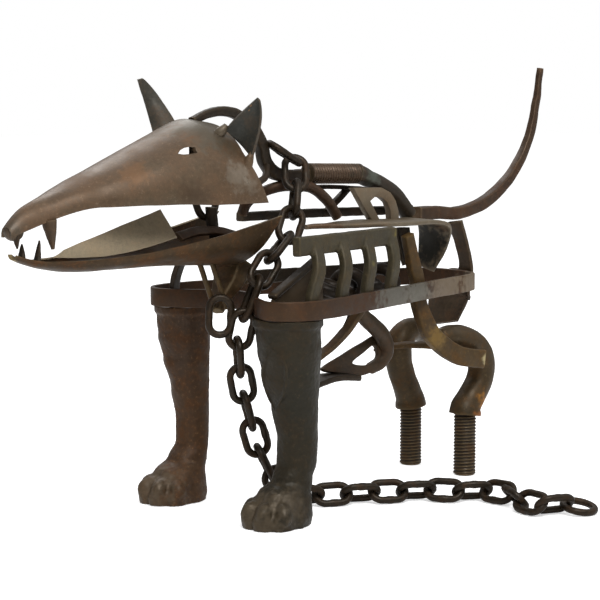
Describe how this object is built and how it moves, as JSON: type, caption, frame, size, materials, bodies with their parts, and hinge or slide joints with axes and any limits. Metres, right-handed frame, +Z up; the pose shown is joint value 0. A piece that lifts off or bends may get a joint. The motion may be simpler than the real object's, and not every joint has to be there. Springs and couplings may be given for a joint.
{
  "type": "scrap metal dog sculpture",
  "caption": "Standing dog welded from scrap iron, with a shell skull, open ribs, hook hind legs and a chain trailing on the floor.",
  "frame": {"origin": "on the floor under the middle of the bounding box", "axes": "-X towards the nose, +X towards the tail, -Y the dog's left side, +Z up"},
  "size_m": [0.4828, 0.2434, 0.2854],
  "materials": {
    "brown_rust": "rusted sheet iron",
    "dark_iron": "dark oxidised iron",
    "grey_olive": "weathered grey iron",
    "tan_iron": "worn iron",
    "rust_mottled": "rust mottled cast iron",
    "green_black": "dark patinated cast iron",
    "chain_iron": "rusty iron"
  },
  "bodies": {
    "root": {"chain_link_01": "chain_iron", "chain_link_02": "chain_iron", "chain_link_03": "chain_iron", "chain_link_04": "chain_iron", "chain_link_05": "chain_iron", "chain_link_06": "chain_iron", "chain_link_07": "chain_iron", "chain_link_08": "chain_iron", "chain_link_09": "chain_iron", "chain_link_10": "chain_iron", "chain_link_11": "chain_iron", "chain_link_12": "chain_iron", "chain_link_13": "chain_iron", "chain_link_14": "chain_iron", "chain_link_15": "chain_iron", "chain_on_floor": "chain_iron", "chain_end_ring": "chain_iron", "body_hoop": "brown_rust", "near_front_leg": "green_black", "far_front_leg": "rust_mottled", "near_rear_leg": "tan_iron", "far_rear_leg": "tan_iron", "skull": "brown_rust", "lower_jaw": "brown_rust", "tongue_blade": "grey_olive", "jaw_rail": "tan_iron", "upper_front_fang": "dark_iron", "upper_side_fang": "dark_iron", "lower_front_fang": "dark_iron", "lower_side_fang": "dark_iron", "near_ear": "dark_iron", "far_ear": "brown_rust", "spine_bolt": "brown_rust", "neck_hook": "dark_iron", "neck_rod": "dark_iron", "tail_bar": "tan_iron", "top_plate": "tan_iron", "rib_grate": "grey_olive", "shoulder_plate": "dark_iron", "saddle_bracket": "tan_iron", "far_bracket": "dark_iron", "far_rail": "dark_iron", "shoulder_arch": "brown_rust", "rump_strap": "dark_iron", "hip_plate": "dark_iron", "near_thigh_bar": "grey_olive", "rear_cross_bar": "tan_iron", "jaw_link": "dark_iron", "jaw_knob": "dark_iron", "throat_wedge": "brown_rust", "throat_rod_1": "tan_iron", "throat_rod_2": "tan_iron", "far_post": "dark_iron", "belly_hook": "brown_rust", "belly_plate": "dark_iron", "belly_bar": "brown_rust", "belly_link": "grey_olive", "belly_spoon": "dark_iron", "inner_side_bar": "dark_iron", "inner_links": "dark_iron"}
  },
  "joints": []
}
